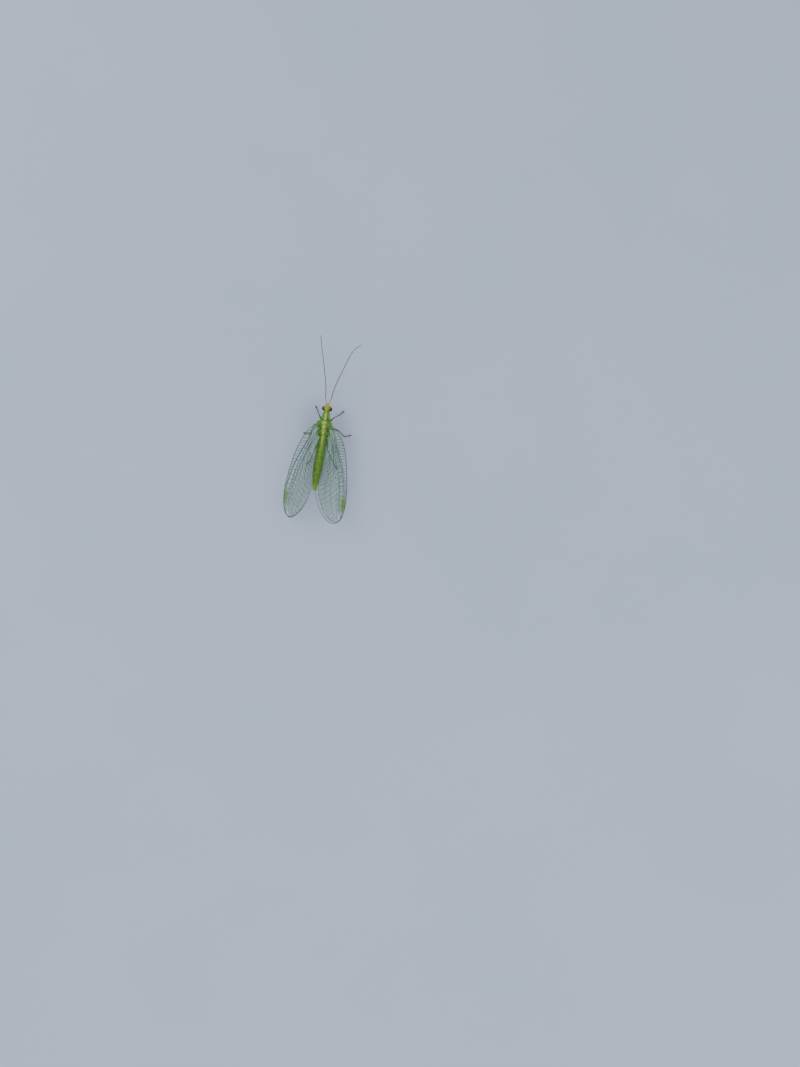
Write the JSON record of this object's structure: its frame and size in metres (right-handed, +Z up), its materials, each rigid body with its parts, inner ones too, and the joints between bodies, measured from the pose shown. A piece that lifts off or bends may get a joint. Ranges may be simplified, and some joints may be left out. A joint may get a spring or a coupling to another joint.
{
  "type": "green lacewing model",
  "caption": "Life-size green lacewing at rest, with net-veined wings held roof-like over a slender body and long feelers held forward.",
  "frame": {"origin": "on the floor, under the middle of the whole insect's box", "axes": "+Z up, -Y the way the head points, +Y along the wings to their tips, +X the insect's left"},
  "size_m": [0.0094, 0.027, 0.0047],
  "materials": {
    "head_skin": "yellow-green waxy cuticle",
    "body_skin": "green waxy cuticle with a pale yellow line along the back",
    "abdomen_skin": "green waxy cuticle with a pale line along the back and a yellower tail",
    "eye": "dark, finely faceted, with a copper glint",
    "antenna": "grey-brown, ringed, with short hairs",
    "leg": "grey-green cuticle, darker towards the foot",
    "wing_membrane": "clear glossy membrane with dark green-grey veins"
  },
  "bodies": {
    "root": {"head": "head_skin", "prothorax": "body_skin", "mesothorax": "body_skin", "metathorax": "body_skin", "abdomen": "abdomen_skin", "eye_left": "eye", "eye_right": "eye", "antenna_left": "antenna", "antenna_right": "antenna", "leg_front_left": "leg", "leg_front_right": "leg", "leg_middle_left": "leg", "leg_middle_right": "leg", "leg_hind_left": "leg", "leg_hind_right": "leg", "forewing_left": "wing_membrane", "forewing_right": "wing_membrane", "hindwing_left": "wing_membrane", "hindwing_right": "wing_membrane"}
  },
  "joints": []
}
